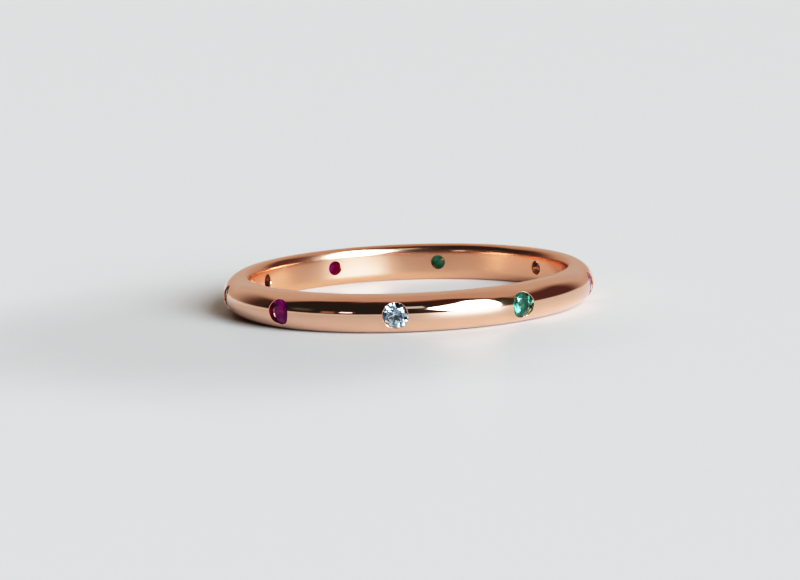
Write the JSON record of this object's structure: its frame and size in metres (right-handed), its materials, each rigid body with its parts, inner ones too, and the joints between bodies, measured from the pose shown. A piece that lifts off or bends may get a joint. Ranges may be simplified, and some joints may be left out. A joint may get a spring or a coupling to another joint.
{
  "type": "stackable ring",
  "caption": "Slim half-round rose gold finger ring with small round red, pale blue and green stones set flush round the whole band, for wearing alone or in a stack.",
  "frame": {"origin": "centre of the finger hole, level with the lower flank that the ring lies on", "axes": "+Z along the finger hole's axis, which is upright while the ring lies on its side; -Y towards the side that faces the picture's camera"},
  "size_m": [0.02, 0.02, 0.002],
  "materials": {
    "rose_gold": "mirror-polished rose gold",
    "ruby": "faceted and polished purplish red gemstone",
    "aquamarine": "faceted and polished very pale blue gemstone",
    "emerald": "faceted and polished bluish green gemstone"
  },
  "bodies": {
    "root": {"band": "rose_gold", "ruby_1": "ruby", "ruby_2": "ruby", "ruby_3": "ruby", "aquamarine_1": "aquamarine", "aquamarine_2": "aquamarine", "aquamarine_3": "aquamarine", "emerald_1": "emerald", "emerald_2": "emerald", "emerald_3": "emerald"}
  },
  "joints": []
}
